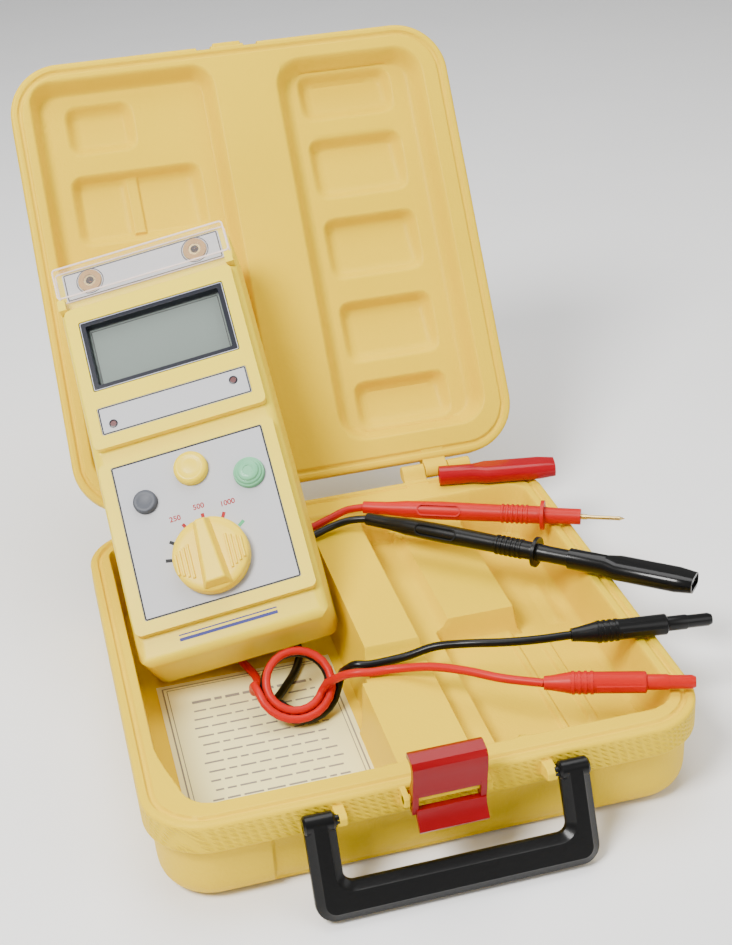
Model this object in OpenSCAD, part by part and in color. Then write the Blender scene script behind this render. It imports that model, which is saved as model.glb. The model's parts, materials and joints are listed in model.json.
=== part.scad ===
// Insulation resistance tester in its open carry case, with two test leads,
// two slip-on crocodile clips and a paper card. Millimetres, +Z up,
// origin at the centre of the case's underside, front of the case towards -Y.

/* [Carry case] */
// Width of the case
case_w = 233; // [231:1:236]
// Depth of the base from front to back
case_d = 232.6; // [231:0.2:234]
// Height of the base tub
base_h = 43; // [43:1:46]
// Length of the lid from hinge side to latch side
lid_l = 234; // [232:0.5:234.5]
// Thickness of the lid
lid_t = 26; // [25:1:30]
// Lean of the open lid beyond vertical
lid_lean = 32.4; // [32:0.2:36]
// Wall of each moulded skin
skin = 2.2; // [1.8:0.1:2.3]
// Depth of the tester's compartment
tray_depth = 37; // [36:0.5:37]
// Depth of the shaped recesses in the lid
lid_recess = 11; // [11:0.5:12]
// Depth of the pockets in the lid recesses, from the rim
lid_pocket = 19; // [16:1:20]

/* [Tester] */
// Width of the tester body
tester_w = 90; // [88:1:91]
// Length of the tester body
tester_l = 208; // [204:1:208]
// Thickness of the tester from the raised label face to the back
tester_t = 42; // [40:1:42]
// Diameter of the range knob
knob_d = 35.6; // [30:0.2:38]
// Setting of the range knob, turned from the 500 V mark
knob_turn = 0; // [-75:1:60]

/* [Leads] */
// Diameter of the lead
cord_d = 4; // [3.6:0.1:4]
// Length of a probe handle with its boot
probe_l = 109; // [106:1:109]
// Length of a plug body with its boot
plug_l = 42; // [40:1:44]

/* [Latch and handle] */
// Width of the latch
latch_w = 30.2; // [28:0.2:31]
// Outward lean of the latch where it rests
latch_lean = 9; // [8:0.5:14]
// Length of the handle from its pivot to its outer edge
handle_len = 39.4; // [34:0.2:39.4]
// Forward lean of the handle where it rests
handle_lean = 23; // [23:1:30]

/* [Hidden] */
$fn = 48;
eps = 0.05;

case_yellow = [0.96, 0.84, 0.22];
body_yellow = [0.97, 0.87, 0.42];
label_grey = [0.72, 0.72, 0.78];
latch_red = [0.80, 0.07, 0.20];
lead_red = [0.90, 0.22, 0.20];
lead_black = [0.10, 0.10, 0.10];
brass = [0.80, 0.65, 0.30];
steel = [0.75, 0.76, 0.78];

// Case rims, hinge and latch
band_h = 14;            // height of the textured lip band
band_step = 4;          // overhang of the band over the body
corner_r = 27;          // plan radius of the case corners
floor_r = 11;           // size of the eased bottom edge
hinge_y = case_d + 5.6;
hinge_z = 1.3;
lid_gap = 5.6;          // hinge axis to the lid's edge, along the lid
lid_rise = 1.1;         // hinge axis to the lid's rim plane
pin_r = 1.5;
run_gap = 0.05;         // radial running clearance
knuckle_r = 4;
knuckle_len = 12;
hinge_x = [29, 167];    // left end of each hinge
bar_y = -5;
bar_z = -3;
bar_r = 1.8;
latch_x = case_w / 2 - latch_w / 2;
hook_z = 17.4;          // latch hook above the pivot bar, just over the shut lid's band
handle_y = -5.5;
handle_z = -5;
handle_t = 8;
arm_w = 12.6;
handle_x0 = case_w / 2 - 58.1;
handle_w = 116.2;
boss_w = 6.4;

// Tester face layout: x across, y up the body, z out of the face
half_w = tester_w / 2;
face_z = -4;            // body face around the raised blocks
split_z = -20;          // joint between the front and rear covers
deck_z = -7;            // deck that carries the terminal plate
deck_y = 183.5;
wall = 2.2;
knob_y = 40.5;
plate_t = 0.6;
cover_pivot = [187, -3.7];
socket_x = 27;
socket_y = 199.2;
test_at = [0, 84.9];
hold_at = [-24.2, 75.3];
light_at = [25.7, 74.9];
board_z = -14;
board_t = 1.6;
door_w = 64;
screw_spots = [[-37, 10], [37, 10], [-37, 179], [37, 179]];

// Places of the loose pieces, in the case frame (rim plane at z = 0)
tester_at = [54.9, 117.2, 1.3];
tester_tilt = 39.5;
tester_skew = 1.85;
tester_yaw = -13.6;
black_probe_a = [137.3, 195.8, 4];
black_probe_b = [261.6, 84.2, 7];
red_probe_a = [138.4, 207.55, 4];
red_probe_b = [255.5, 149.75, 5.6];
black_plug_a = [195.4, 66.9, 5];
black_plug_b = [260.4, 58, 5];
red_plug_a = [173.1, 40.6, 3];
red_plug_b = [232, 18.4, 5];
red_clip_a = [183.2, 223.7, 5.1];
red_clip_b = [239.6, 212.9, 5.1];
store_coil_at = [68, 186];
store_coil_r = 21;
coil_h = 8;
loop_at = [81.7, 108.5, -22.8];
loop_r = 14.5;
loop_tilt = 40;
loop_shift = 4.1;

// Routes of the leads' free stretches, chosen by hand
black_probe_route = [[137.3, 195.8, 4], [129, 198.6, 3.2], [121, 198.5, 2], [113.5, 196, 1.3],
    [107.5, 193.6, 0.2], [102.8, 192.4, -6], [100, 191, -13], [99.4, 189.6, -20], [98.8, 187.5, -28],
    [94, 185.5, -33.5]];
black_mid_route = [[85, 169, -33], [89, 160, -34.4], [89, 148, -34.6], [84, 135, -34.6],
    [76, 123, -34.6], [69.5, 113, -34], [68.6, 106.5, -31.5], [71.4, 101.8, -28.4]];
black_plug_route = [[98, 104, -26.6], [99.4, 106, -23.6], [100, 105.2, -19.6], [99.9, 101.8, -16],
    [100, 97.6, -12.6], [101, 94, -9], [103.8, 91, -5.7], [109.5, 88.9, -5.5], [117, 88.8, -5.5],
    [127, 87.6, -4], [139, 85.6, -0.5], [152, 79, 2.5], [166, 73.5, 3.5], [180, 69.5, 4.3],
    [195.4, 66.9, 5]];
red_probe_route = [[138.4, 207.55, 4], [130, 209, 3.2], [121.5, 206.5, 2], [114, 203.5, 1.3],
    [107.5, 201, 0.2], [101.5, 199, -6.5], [95, 199.6, -14], [88.8, 203, -20], [82.3, 206.5, -22.6]];
red_mid_route = [[47.5, 171.7, -26.8], [53.2, 163, -27], [58, 155, -29.8], [62, 147, -33.2],
    [65, 139, -34.3], [65.5, 131, -34.3], [63.5, 125, -33.6], [61.6, 119, -30], [60.9, 114.5, -24],
    [60.9, 109.5, -19.4], [62.1, 104.5, -20.2]];
red_plug_route = [[90.4, 101.7, -23.2], [92.3, 97.3, -17.7], [94.3, 92.5, -12.3], [98, 88, -7.8],
    [103, 84.8, -5.6], [109, 83, -5.4], [119, 80.6, -4.4], [133, 71.8, -0.5], [145.5, 61, 1.8],
    [158, 50, 2.5], [173.1, 40.6, 3]];

// ---------- frames ----------
module case_frame() translate([-case_w / 2, -case_d / 2, base_h]) children();
module lid_frame() case_frame() translate([0, hinge_y, hinge_z])
    rotate([90 - lid_lean, 0, 0]) translate([0, lid_gap, lid_rise]) children();
module tester_frame() case_frame() translate(tester_at)
    rotate([tester_tilt, 0, 0]) rotate([0, 0, tester_skew]) rotate([0, tester_yaw, 0]) children();
module aim(from, to) {
    run = to - from;
    case_frame() translate(from)
        rotate([0, acos(run[2] / norm(run)), atan2(run[1], run[0])]) children();
}

// ---------- shared shapes ----------
module rounded_plan(w, d, r) {
    translate([r, 0]) square([w - 2 * r, d]);
    translate([0, r]) square([w, d - 2 * r]);
    for (x = [r, w - r], y = [r, d - r]) translate([x, y]) circle(r);
}
// Rounded slab from corner [x, y] to [x + w, y + d], between z0 and z1
module slab(x, y, w, d, z0, z1, r) translate([x, y, z0]) linear_extrude(z1 - z0) rounded_plan(w, d, r);
// The same slab, centred on x = 0
module mid_slab(w, y, d, z0, z1, r) slab(-w / 2, y, w, d, z0, z1, r);
// Profile in the Y-Z plane, drawn out along X
module along_x(x, len) translate([x, 0, 0]) rotate([90, 0, 90]) linear_extrude(len) children();
module post(x, y, z0, z1, r) translate([x, y, z0]) cylinder(r = r, h = z1 - z0);
// Solid of revolution about Z from [radius, height] points
module turned(outline) rotate_extrude() polygon(outline);

// ---------- carry case ----------
// Outer form of the base tub, set in by the given amount
module base_form(in) {
    slab(in, in, case_w - 2 * in, case_d - 2 * in, -band_h + in, -in, corner_r - in);
    hull() for (step = [[0, floor_r - in], [floor_r * 0.3, floor_r * 0.3 - in * 0.4], [floor_r, 0]]) {
        edge = band_step + in + step[0];
        slab(edge, edge, case_w - 2 * edge, case_d - 2 * edge, -base_h + in + step[1],
            -band_h + in, corner_r - edge + 2, $fn = 32);
    }
}
// Compartments of the base, made larger by the given amount
module base_hollows(out) {
    for (cut = [
        [19, 14, 85, 40, -tray_depth, 9],        // tester compartment, front
        [15, 32, 89, 60, -tray_depth, 9],        // tester compartment, middle
        [10.2, 60, 93.8, 60, -tray_depth, 7],    // tester compartment, widened
        [10.2, 93, 99.3, 125, -tray_depth, 7],   // tester compartment, back
        [147, 14, 76, 122, -27, 10],             // lead bay
        [186, 110, 37, 102, -27, 10],            // lead bay, back right
        [147, 110, 76, 102, -12, 8],             // raised shelf of the lead bay
        [135, 14, 20, 192, -17, 5],              // narrow channel beside the divider
        [96, 14, 48, 84, -8, 5],                 // lowered front of the divider
        [106, 90, 38, 124, -2, 4]])              // back of the divider
        slab(cut[0] - out, cut[1] - out, cut[2] + 2 * out, cut[3] + 2 * out,
            cut[4] - out, 5, cut[5] + out);
}
module base_knuckle(x) along_x(x, knuckle_len) {
    translate([hinge_y, hinge_z]) circle(knuckle_r);
    polygon([[case_d - 6, -13], [hinge_y + 2, -2.1], [hinge_y - 3, hinge_z + 2.5], [case_d + 0.2, -0.4],
        [case_d - 6, -0.4]]);
}
module case_base() color(case_yellow) case_frame() {
    difference() {
        union() {
            difference() {
                base_form(0);
                base_hollows(0);
                difference() {
                    base_form(skin);
                    base_hollows(skin);
                }
            }
            for (x = hinge_x) {
                base_knuckle(x);
                base_knuckle(x + 25);
            }
            // pivot bar of the latch, between two ears
            translate([latch_x - 2.9, bar_y, bar_z]) rotate([0, 90, 0]) cylinder(r = bar_r, h = latch_w + 5.8);
            for (x = [latch_x - 2.9, latch_x + latch_w + 0.4])
                along_x(x, 2.5) polygon([[-7.4, -5.2], [-7.4, -0.8], [2, -0.8], [2, -11]]);
            // bosses of the handle's studs
            for (x = [handle_x0 + arm_w + 0.4, handle_x0 + handle_w - arm_w - 0.4 - boss_w])
                along_x(x, boss_w) polygon([[-9.2, -9], [-9.2, -1.4], [2, -1.4], [2, -12.5]]);
        }
        for (x = hinge_x) translate([x - 1, hinge_y, hinge_z]) rotate([0, 90, 0])
            cylinder(r = pin_r + run_gap, h = 3 * knuckle_len + 4);
        for (x = [handle_x0 + arm_w, handle_x0 + handle_w - arm_w - boss_w - 1])
            translate([x, handle_y, handle_z]) rotate([0, 90, 0])
                cylinder(r = 2.5 + run_gap, h = boss_w + 1);
    }
}

// Outer form of the lid, rim plane at z = 0, set in by the given amount
module lid_form(in) {
    slab(in, in, case_w - 2 * in, lid_l - 2 * in, -band_h + in, -in, corner_r - in);
    hull() for (step = [[0, floor_r - 3 - in], [3, 3 - in * 0.4], [floor_r - 2, 0]]) {
        edge = band_step + in + step[0];
        slab(edge, edge, case_w - 2 * edge, lid_l - 2 * edge, -lid_t + in + step[1],
            -band_h + in, corner_r - edge + 2, $fn = 32);
    }
}
module lid_hollows(out) {
    slab(10.4 - out, 16 - out, 96 + 2 * out, 209 + 2 * out, -lid_recess - out, 5, 10 + out);
    slab(139 - out, 15.5 - out, 80 + 2 * out, 206.5 + 2 * out, -lid_recess - out, 5, 13 + out);
    for (y = [22, 57.5, 103, 147, 190])
        slab(153 - out, y - out, 52 + 2 * out, (y == 22 || y == 190 ? 25 : 33) + 2 * out,
            -lid_pocket - out, 5, 6 + out);
    slab(27 - out, 187 - out, 36 + 2 * out, 27 + 2 * out, -lid_pocket - out, 5, 6 + out);
    slab(24 - out, 139 - out, 69 + 2 * out, 38 + 2 * out, -lid_pocket - out, 5, 6 + out);
}
module case_lid() color(case_yellow) lid_frame() difference() {
    union() {
        difference() {
            lid_form(0);
            lid_hollows(0);
            difference() {
                lid_form(skin);
                lid_hollows(skin);
            }
        }
        // tab between the latch slots
        translate([case_w / 2 - 7.4, lid_l - 3, -10]) cube([14.8, 4.2, 9.8]);
        for (x = hinge_x) along_x(x + knuckle_len + 0.4, knuckle_len + 0.2) {
            translate([-lid_gap, -lid_rise]) circle(knuckle_r);
            polygon([[-lid_gap - 1, -lid_rise - 3.8], [6, -13], [6, -0.6], [0, -0.6],
                [-lid_gap + 2, -lid_rise + 3.4]]);
        }
    }
    for (x = hinge_x) translate([x - 1, -lid_gap, -lid_rise]) rotate([0, 90, 0])
        cylinder(r = pin_r + run_gap, h = 3 * knuckle_len + 4);
    // slots beside the tab, where the latch's cheeks pass
    for (x = [latch_x - 0.8, latch_x + latch_w - 6.4]) translate([x, lid_l - 2.6, -band_h - 8])
        cube([7.2, 6, 19]);
}
module hinge_pins() color(steel) case_frame() for (x = hinge_x)
    translate([x + 0.5, hinge_y, hinge_z]) rotate([0, 90, 0]) cylinder(r = pin_r, h = 3 * knuckle_len);

module latch() color(latch_red) case_frame() translate([0, bar_y, bar_z]) rotate([latch_lean, 0, 0])
    difference() {
        union() {
            // front plate, hook and flared pull tab
            along_x(latch_x, latch_w) polygon([[-1.2, 3.2], [-3.6, 3.2], [-4.1, 14], [-3.6, 19], [-1.6, 20.8],
                [3.6, 21], [5.6, 20], [5.6, hook_z], [4.4, hook_z], [3.2, hook_z + 0.8],
                [0, hook_z + 0.8], [-1.2, hook_z - 1]]);
            along_x(latch_x + 1.6, latch_w - 1.8) polygon([[-1.6, -3.4], [-4.2, -3.4], [-4.9, -6.4], [-9, -10.6],
                [-8.2, -12.2], [-3.2, -8.6]]);
            for (x = [latch_x, latch_x + latch_w - 2.5]) along_x(x, 2.5) {
                circle(3.3);
                polygon([[-3.6, -6], [-3.9, 5], [-1.2, 12], [1.2, 4], [2.4, 0], [0, -6]]);
            }
        }
        translate([latch_x - 1, 0, 0]) rotate([0, 90, 0]) cylinder(r = bar_r + run_gap, h = latch_w + 2);
    }

module carry_handle() color(lead_black) case_frame() translate([0, handle_y, handle_z])
    rotate([-handle_lean, 0, 0]) {
        difference() {
            translate([0, handle_t / 2, 0]) rotate([90, 0, 0]) linear_extrude(handle_t) difference() {
                union() {
                    translate([handle_x0, -handle_len]) rounded_plan(handle_w, 20, 8);
                    for (x = [handle_x0, handle_x0 + handle_w - arm_w])
                        translate([x, -handle_len + 9]) square([arm_w, handle_len - 9]);
                }
                translate([handle_x0 + arm_w, 15 - handle_len])
                    rounded_plan(handle_w - 2 * arm_w, handle_len, 4);
            }
        }
        for (x = [handle_x0, handle_x0 + handle_w - arm_w]) translate([x, 0, 0])
            rotate([0, 90, 0]) cylinder(r = handle_t / 2, h = arm_w);
        for (x = [handle_x0 + arm_w - 1, handle_x0 + handle_w - arm_w - 5.2]) translate([x, 0, 0])
            rotate([0, 90, 0]) cylinder(r = 2.5, h = 6.2);
    }

module paper_card() color([0.95, 0.92, 0.80]) case_frame()
    translate([19.5, 22, -tray_depth + eps]) cube([83, 124, 0.3]);

// ---------- tester housing ----------
module body_form() intersection() {
    mid_slab(tester_w, 0, tester_l, -tester_t, face_z, 8);
    translate([0, tester_l, 0]) rotate([90, 0, 0]) linear_extrude(tester_l)
        translate([-half_w, -tester_t]) rounded_plan(tester_w, tester_t + face_z, 5);
    along_x(-half_w, tester_w) translate([0, -tester_t]) rounded_plan(tester_l, tester_t + face_z, 5);
}
module front_cover() color(body_yellow) tester_frame() difference() {
    union() {
        difference() {
            union() {
                intersection() {
                    body_form();
                    translate([-50, -5, split_z]) cube([100, 220, 30]);
                }
                mid_slab(85, 14, 85.5, face_z - 3, 0, 3);
                mid_slab(84.4, 107.5, 75.5, face_z - 3, 0, 3);
                for (x = [-half_w + 0.6, half_w - 4.4])
                    translate([x, 184.4, -11]) cube([3.8, 5.6, 10.2]);
            }
            // inside of the shell
            mid_slab(tester_w - 2 * wall, wall, tester_l - 2 * wall, split_z - 1, face_z - 5, 6);
            mid_slab(80, 16, 81, -10, -2.6, 2);
            mid_slab(80, 110, 71, -10, -2.6, 2);
        }
        // screw bosses with a shoulder under the board
        for (at = screw_spots) {
            post(at[0], at[1], split_z + 0.5, -8.5, 3.4);
            post(at[0], at[1], board_z + board_t + eps, at[1] < 50 ? -8.5 : -2.5, 4.1);
        }
    }
    for (at = screw_spots) post(at[0], at[1], split_z - 1, -14.5, 1.5 + run_gap);
    // terminal deck
    difference() {
        translate([-50, deck_y, deck_z]) cube([100, 30, 12]);
        for (x = [-half_w + 0.6, half_w - 4.4]) translate([x, 184.4, -11]) cube([3.8, 5.6, 10.2]);
    }
    // label recesses
    mid_slab(73.6, 20, 76.8, -0.7, 1, 1);
    mid_slab(74, 113.8, 14.4, -0.7, 1, 1);
    // display opening
    mid_slab(72.8, 137, 38, -8, 1, 1);
    // openings for the knob shaft, the buttons and the lamps
    post(0, knob_y, -12, 1, 5.4);
    for (at = [[test_at, 8.1], [light_at, 7.4], [hold_at, 5.7]]) post(at[0][0], at[0][1], -12, 1, at[1]);
    for (at = [[-30.5, 118.5], [29.5, 122.5]]) post(at[0], at[1], -12, 1, 1.55);
    // sockets
    for (x = [-socket_x, socket_x]) post(x, socket_y, -12, 1, 5);
    // pivot of the terminal cover
    translate([-half_w - 1, cover_pivot[0], cover_pivot[1]]) rotate([0, 90, 0])
        cylinder(r = 1.5 + run_gap, h = tester_w + 2);
}
module rear_cover() color(body_yellow) tester_frame() difference() {
    union() {
        difference() {
            intersection() {
                body_form();
                translate([-50, -5, -60]) cube([100, 220, 60 + split_z - eps]);
            }
            mid_slab(tester_w - 2 * wall, wall, tester_l - 2 * wall, wall - tester_t, split_z + 1, 6);
        }
        for (at = screw_spots) post(at[0], at[1], -41, -22, 3.4);
        post(0, 120, -41, -30, 4);
    }
    for (at = screw_spots) {
        post(at[0], at[1], -43, -20, 1.6);
        post(at[0], at[1], -43, -38, 2.9);
    }
    // battery opening with a ledge for the door's tab
    mid_slab(door_w + 0.4, 9.8, 104.4, -43, -35, 2);
    mid_slab(24.4, 112, 14.4, -43, -40.9, 2);
    post(0, 120, -43, -29, 1.3);
}
module terminal_cover() color([0.95, 0.86, 0.86, 0.45]) tester_frame() {
    // hinge barrel with its stub pins
    translate([-40.3, cover_pivot[0], cover_pivot[1]]) rotate([0, 90, 0]) cylinder(r = 3.1, h = 80.6);
    translate([-44.2, cover_pivot[0], cover_pivot[1]]) rotate([0, 90, 0]) cylinder(r = 1.5, h = 88.4);
    difference() {
        union() {
            translate([-40.2, cover_pivot[0], -2]) cube([80.4, 5, 1.4]);
            mid_slab(88, 190.4, 17.4, deck_z + 0.2, -0.6, 2);
        }
        mid_slab(85.4, 180, 26.4, deck_z - 1, -2, 1.2);
        translate([-50, 180, -10]) cube([9.6, 11.6, 12]);
        translate([40.4, 180, -10]) cube([9.6, 11.6, 12]);
    }
}
module terminal_plate() color(label_grey) tester_frame() difference() {
    mid_slab(80.6, 190.6, 15.6, deck_z + 0.02, deck_z + 0.52, 1);
    for (x = [-socket_x, socket_x]) post(x, socket_y, -9, 1, 6);
}
// Insulated 4 mm test socket: a collar on the deck and a bush below it
module socket_body(x) difference() {
    union() {
        post(x, socket_y, deck_z + 0.05, deck_z + 1.6, 5.8);
        post(x, socket_y, -28, deck_z + 1, 4.8);
    }
    post(x, socket_y, -29, -1, 3.05);
}
module line_socket() color([0.85, 0.45, 0.25]) tester_frame() socket_body(socket_x);
module earth_socket() color([0.80, 0.50, 0.25]) tester_frame() socket_body(-socket_x);
module socket_contacts() color(brass) tester_frame() for (x = [-socket_x, socket_x]) difference() {
    post(x, socket_y, -28, deck_z + 1.2, 3);
    post(x, socket_y, -27, 0, 2.05);
}
module lcd_bezel() color([0.13, 0.15, 0.22]) tester_frame() difference() {
    mid_slab(72.4, 137.2, 37.6, -6.4, -0.2, 1);
    mid_slab(66.4, 140, 32, -7, 1, 0.8);
}
module lcd_window() color([0.8, 0.9, 0.85, 0.4]) tester_frame() mid_slab(66.2, 140.1, 31.8, -5.2, -4.2, 0.8);
module lcd_panel() color([0.55, 0.60, 0.56]) tester_frame() {
    mid_slab(66, 140.2, 31.6, -8, -5.3, 0.6);
    mid_slab(60, 141, 4, board_z + board_t + eps, -7.9, 0.5);
    mid_slab(60, 167, 4, board_z + board_t + eps, -7.9, 0.5);
}
module title_plate() color(label_grey) tester_frame() difference() {
    mid_slab(73.4, 113.9, 14.2, -0.68, -0.08, 0.9);
    for (at = [[-30.5, 118.5], [29.5, 122.5]]) post(at[0], at[1], -2, 1, 1.55);
}
module control_plate() color(label_grey) tester_frame() difference() {
    mid_slab(73.4, 20.1, 76.6, -0.68, -0.08, 0.9);
    post(0, knob_y, -2, 1, 5.4);
    for (at = [[test_at, 8.1], [light_at, 7.4], [hold_at, 5.7]]) post(at[0][0], at[0][1], -2, 1, at[1]);
}
module indicator_lamps() color([0.55, 0.15, 0.15]) tester_frame()
    for (at = [[-30.5, 118.5], [29.5, 122.5]]) post(at[0], at[1], board_z + board_t + eps, 0.1, 1.45);

// ---------- controls ----------
module button(at, r, top) {
    post(at[0], at[1], -5.6, top, r);
    post(at[0], at[1], -5.8, -3.4, r + 1.2);
    post(at[0], at[1], -8.6, -5.7, 2);
}
module test_button() color(body_yellow) tester_frame() button(test_at, 8, 4.4);
module light_button() color([0.60, 0.82, 0.68]) tester_frame() button(light_at, 7.3, 4.6);
module hold_button() color([0.45, 0.45, 0.50]) tester_frame() button(hold_at, 5.6, 3);
module range_knob() color([0.96, 0.85, 0.40]) tester_frame() translate([0, knob_y, 0]) rotate([0, 0, knob_turn])
    difference() {
        union() {
            cylinder(r = knob_d / 2, h = 7.4 - 0.3);
            translate([0, 0, 7]) linear_extrude(5.4) polygon([[-3.2, 17], [2.2, 17], [5.6, -15.5], [-4.6, -16.5]]);
            for (side = [-1, 1], step = [0:3]) translate([side * (6.6 + step * 2.2), -7, 7])
                translate([-0.5, 0, 0]) cube([1, 14 - step * 1.6, 0.9]);
        }
        translate([0, 0, -1]) cylinder(r = 3.05, h = 7);
        translate([0, 0, -4]) cylinder(r = 20, h = 4.3);
    }
module range_shaft() color([0.9, 0.9, 0.88]) tester_frame() {
    post(0, knob_y, -10.6, 6, 3);
}
module rotary_switch() color([0.9, 0.88, 0.8]) tester_frame() difference() {
    post(0, knob_y, board_z + board_t + eps, -8, 15);
    post(0, knob_y, -10.8, -7, 3.05);
}
module tact_switches() color(steel) tester_frame() for (at = [test_at, light_at, hold_at])
    mid_slab(5, at[1] - 2.5, 5, board_z + board_t + eps, -10.8, 0.4) ;

// ---------- inside the tester ----------
module main_board() color([0.10, 0.40, 0.22]) tester_frame() difference() {
    mid_slab(82, 6, 176, board_z, board_z + board_t, 3);
    for (at = screw_spots) post(at[0], at[1], -20, -5, 3.8);
}
module hv_transformer() color([0.85, 0.75, 0.30]) tester_frame() {
    mid_slab(24, 128, 26, -27, board_z - eps, 1);
    mid_slab(16, 125, 32, -24, -17, 1);
}
module capacitor() color([0.15, 0.20, 0.45]) tester_frame() post(24, 140, -34, board_z - eps, 6.3);
module fuse_clips() color(steel) tester_frame() for (y = [146, 166]) difference() {
    translate([-34, y, -24]) cube([8, 4, 24 + board_z - eps]);
    translate([-30, y - 1, -20]) rotate([-90, 0, 0]) cylinder(r = 2.6, h = 6);
}
module fuse() color([0.85, 0.88, 0.90]) tester_frame() translate([-30, 148, -20]) rotate([-90, 0, 0])
    cylinder(r = 2.55, h = 20);
module buzzer() color([0.08, 0.08, 0.08]) tester_frame() post(24, 164, -24, board_z - eps, 6);
module battery_bay(r, len) for (row = [0, 1], x = [-21.9 : 14.6 : 22])
    translate([x, 13 + row * 52, -31]) rotate([-90, 0, 0]) cylinder(r = r, h = len);
module battery_holder() color([0.10, 0.10, 0.12]) tester_frame() difference() {
    union() {
        mid_slab(62, 11, 107, 0.05 + wall - tester_t, -23.2, 2);
        mid_slab(76, 20, 90, 0.05 + wall - tester_t, 1.4 + wall - tester_t, 2);
    }
    battery_bay(7.25, 51);
    post(0, 120, -42, -29, 4.3);
    for (row = [0, 1]) mid_slab(58.4, 13 + row * 52, 51, -45, -31, 0.5);
}
module batteries() color([0.75, 0.55, 0.25]) tester_frame() battery_bay(7.1, 50.5);
module battery_door() color(body_yellow) tester_frame() difference() {
    union() {
        mid_slab(door_w, 10, 104, -tester_t, -tester_t + 2, 1.9);
        mid_slab(24, 112, 14, -tester_t, -41, 1.9);
    }
    post(0, 120, -43, -39, 1.6);
}
module battery_door_screw() color(steel) tester_frame() {
    post(0, 120, -41.6, -33, 1.25);
    post(0, 120, -42.6, -42.05, 2.8);
    post(0, 120, -42.2, -41, 1.25);
}
module case_screws() color(steel) tester_frame() for (at = screw_spots) {
    post(at[0], at[1], -39.4, -15, 1.5);
    post(at[0], at[1], -40.6, -38.05, 2.7);
}

// ---------- leads ----------
// Point on the smooth curve through a list of points, t from 0 to the last index
function at_index(route, i) = route[max(0, min(len(route) - 1, i))];
function spline(route, t) = let (i = min(floor(t), len(route) - 2), f = t - i,
    a = at_index(route, i - 1), b = route[i], c = route[i + 1], d = at_index(route, i + 2))
    0.5 * (2 * b + (c - a) * f + (2 * a - 5 * b + 4 * c - d) * f * f + (3 * b - a - 3 * c + d) * f * f * f);
function unit(v) = v / norm(v);
module cord(route, sides = 8) {
    last = len(route) - 1;
    rings = last * 2;
    function centre(k) = spline(route, last * k / rings);
    function heading(k) = unit(spline(route, min(last, last * k / rings + 0.05))
        - spline(route, max(0, last * k / rings - 0.05)));
    function ring_point(k, j) = let (run = heading(k), across = unit(cross(run, [0.1, 0.1, 1])),
        up = cross(across, run)) centre(k)
        + cord_d / 2 * (cos(360 * j / sides) * across + sin(360 * j / sides) * up);
    case_frame() polyhedron(
        points = [for (k = [0 : rings], j = [0 : sides - 1]) ring_point(k, j)],
        faces = concat([[for (j = [0 : sides - 1]) j]],
            [[for (j = [sides - 1 : -1 : 0]) rings * sides + j]],
            [for (k = [0 : rings - 1], j = [0 : sides - 1], half = [0, 1])
                let (a = k * sides + j, b = k * sides + (j + 1) % sides)
                half == 0 ? [a, a + sides, b + sides] : [a, b + sides, b]]));
}
module store_coil(level) case_frame() translate([store_coil_at[0], store_coil_at[1], level - tray_depth + 0.1])
    rotate_extrude() translate([store_coil_r - 6, 0]) square([12, coil_h]);
module front_loop(level) case_frame() translate(loop_at) translate([-level, 0, 0]) rotate([loop_tilt, 0, 0])
    translate([0, 0, level == 0 ? 0 : loop_shift]) rotate_extrude() translate([loop_r - 3.5, -2]) square([7, 4]);
// Probe handle along +Z: boot, tapered grip, ribs, finger guard and collar
module probe_handle() difference() {
    union() {
        turned([[0, 0], [3.1, 0], [3.3, 12], [4.2, 22], [4.6, 40], [4.3, 68], [4.4, probe_l - 20],
            [4.2, probe_l - 18.6], [0, probe_l - 18.6]]);
        for (z = [70 : 2.4 : 84]) translate([0, 0, z]) cylinder(r = 4.8, h = 1.2);
        translate([0, 0, probe_l - 19.6]) cylinder(r = 7.3, h = 1.8);
        turned([[0, probe_l - 18], [4.2, probe_l - 18], [3.9, probe_l - 12], [3.9, probe_l], [0, probe_l]]);
    }
    translate([0, 0, probe_l - 12]) cylinder(r = 1.35, h = 20);
}
module needle() {
    translate([0, 0, probe_l - 11.9]) cylinder(r = 1.3, h = 15);
    turned([[0, probe_l - 11], [1, probe_l - 11], [1, probe_l + 19], [0, probe_l + 21.5]]);
}
// Plug along +Z: boot, ribs, slotted body and the sleeve over its pin
module plug_shell() difference() {
    union() {
        turned([[0, 0], [2.9, 0], [3.2, 3], [4.6, 11], [4.6, plug_l], [3.9, plug_l + 0.6], [0, plug_l + 0.6]]);
        for (z = [11.5 : 2.6 : 20]) translate([0, 0, z]) cylinder(r = 5, h = 1.3);
        for (side = [-1, 1]) translate([-1.2, side * 4.4 - 0.6, 22]) cube([2.4, 1.2, plug_l - 22]);
        turned([[0, plug_l], [3.3, plug_l], [3.3, plug_l + 9], [2.9, plug_l + 10], [2.9, plug_l + 19],
            [2.2, plug_l + 20.6], [0, plug_l + 20.6]]);
    }
    translate([0, 0, plug_l - 6]) cylinder(r = 2.05, h = 40);
}
module plug_pin() translate([0, 0, plug_l - 5.9]) cylinder(r = 2, h = 25);
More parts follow.
